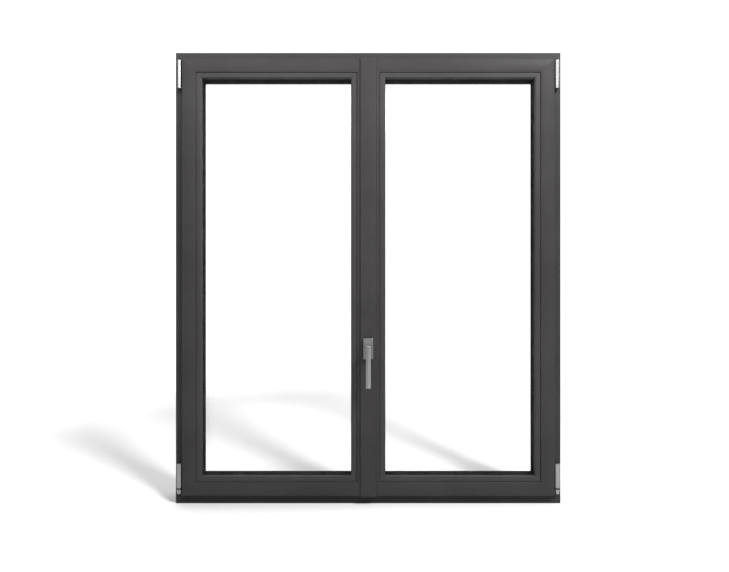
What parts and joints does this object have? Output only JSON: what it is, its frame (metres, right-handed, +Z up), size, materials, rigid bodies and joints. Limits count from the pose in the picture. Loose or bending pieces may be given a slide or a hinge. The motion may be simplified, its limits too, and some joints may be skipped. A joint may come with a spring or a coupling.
{
  "type": "casement window",
  "caption": "Tilt-and-turn casement window: fixed frame, active leaf with lever handle on a floating mullion, and passive leaf, double glazed in dark grey foiled plastic.",
  "frame": {"origin": "middle of the underside of the base strip, half way through the frame's depth", "axes": "+Z up, +X to the right seen from the room, +Y from the room to the outside"},
  "size_m": [1.2, 0.152, 1.405],
  "materials": {
    "dark_foil_pvc": "fine-grained dark grey foil on extruded PVC",
    "clear_glass": "clear float glass",
    "spacer": "dark warm-edge spacer",
    "black_rubber": "matt extruded gasket",
    "satin_silver": "satin silver anodised",
    "zinc_steel": "zinc plated, slightly dull",
    "die_cast": "die-cast zinc, dull grey"
  },
  "bodies": {
    "frame": {"frame_head": "dark_foil_pvc", "frame_sill": "dark_foil_pvc", "frame_jamb_left": "dark_foil_pvc", "frame_jamb_right": "dark_foil_pvc", "base_strip": "dark_foil_pvc", "frame_gasket": "black_rubber", "striker_head": "die_cast", "striker_sill": "die_cast", "bolt_keep_head": "die_cast", "bolt_keep_sill": "die_cast", "top_bearing_left": "zinc_steel", "top_bearing_right": "zinc_steel", "top_pin_left": "zinc_steel", "top_pin_right": "zinc_steel", "top_hinge_cover_left": "satin_silver", "top_hinge_cover_right": "satin_silver", "pivot_rest_left": "satin_silver", "pivot_rest_right": "satin_silver", "passive_corner_pin": "zinc_steel"},
    "hinge_carrier": {"active_corner_pin": "zinc_steel"},
    "active_leaf": {"active_rail_top": "dark_foil_pvc", "active_rail_bottom": "dark_foil_pvc", "active_stile_meeting": "dark_foil_pvc", "active_stile_hinge": "dark_foil_pvc", "active_bead_top": "dark_foil_pvc", "active_bead_bottom": "dark_foil_pvc", "active_bead_left": "dark_foil_pvc", "active_bead_right": "dark_foil_pvc", "active_glass_inner": "clear_glass", "active_glass_outer": "clear_glass", "active_spacer": "spacer", "active_glazing_gasket": "black_rubber", "active_hinge_sleeve": "satin_silver", "centre_strip": "dark_foil_pvc", "gearbox": "die_cast", "faceplate": "zinc_steel", "stay_rail": "zinc_steel", "handle_rosette": "satin_silver"},
    "stay_arm": {"stay_arm": "zinc_steel"},
    "handle": {"handle_lever": "satin_silver"},
    "stile_rod": {"stile_rod": "zinc_steel"},
    "top_rod": {"top_rod": "zinc_steel"},
    "bottom_rod": {"bottom_rod": "zinc_steel"},
    "passive_leaf": {"passive_rail_top": "dark_foil_pvc", "passive_rail_bottom": "dark_foil_pvc", "passive_stile_meeting": "dark_foil_pvc", "passive_stile_hinge": "dark_foil_pvc", "passive_bead_top": "dark_foil_pvc", "passive_bead_bottom": "dark_foil_pvc", "passive_bead_left": "dark_foil_pvc", "passive_bead_right": "dark_foil_pvc", "passive_glass_inner": "clear_glass", "passive_glass_outer": "clear_glass", "passive_spacer": "spacer", "passive_glazing_gasket": "black_rubber", "passive_hinge_sleeve": "satin_silver", "outer_meeting_strip": "dark_foil_pvc", "passive_top_band": "zinc_steel"},
    "flush_bolt_top": {"flush_bolt_top": "zinc_steel"},
    "flush_bolt_bottom": {"flush_bolt_bottom": "zinc_steel"}
  },
  "joints": [
    {"name": "active_turn", "type": "hinge", "parent": "frame", "child": "hinge_carrier", "pos_m": [0.585, -0.05, 0.057], "axis": [0, 0, 1], "range_deg": [0, 100]},
    {"name": "active_tilt", "type": "hinge", "parent": "hinge_carrier", "child": "active_leaf", "pos_m": [0.585, -0.05, 0.057], "axis": [1, 0, 0], "range_deg": [0, 7]},
    {"name": "stay_swing", "type": "hinge", "parent": "hinge_carrier", "child": "stay_arm", "pos_m": [0.585, -0.05, 1.3633], "axis": [0, 0, 1], "range_deg": [0, 21.5]},
    {"name": "handle_turn", "type": "hinge", "parent": "active_leaf", "child": "handle", "pos_m": [0, -0.0615, 0.486], "axis": [0, -1, 0], "range_deg": [0, 180]},
    {"name": "stile_rod_slide", "type": "slide", "parent": "active_leaf", "child": "stile_rod", "axis": [0, 0, 1], "range_m": [0, 0.0361]},
    {"name": "top_rod_slide", "type": "slide", "parent": "active_leaf", "child": "top_rod", "axis": [1, 0, 0], "range_m": [0, 0.0361]},
    {"name": "bottom_rod_slide", "type": "slide", "parent": "active_leaf", "child": "bottom_rod", "axis": [-1, 0, 0], "range_m": [0, 0.0361]},
    {"name": "passive_turn", "type": "hinge", "parent": "frame", "child": "passive_leaf", "pos_m": [-0.585, -0.05, 0.057], "axis": [0, 0, -1], "range_deg": [0, 90]},
    {"name": "top_bolt_slide", "type": "slide", "parent": "passive_leaf", "child": "flush_bolt_top", "axis": [0, 0, -1], "range_m": [0, 0.02]},
    {"name": "bottom_bolt_slide", "type": "slide", "parent": "passive_leaf", "child": "flush_bolt_bottom", "axis": [0, 0, 1], "range_m": [0, 0.02]}
  ],
  "couplings": [
    {"joint": "stay_swing", "follows": "active_tilt", "ratio": 3.0586},
    {"joint": "stile_rod_slide", "follows": "handle_turn", "m_per_rad": 0.011459},
    {"joint": "top_rod_slide", "follows": "handle_turn", "m_per_rad": 0.011459},
    {"joint": "bottom_rod_slide", "follows": "handle_turn", "m_per_rad": 0.011459},
    {"joint": "passive_turn", "follows": "active_turn", "ratio": 0.9}
  ]
}
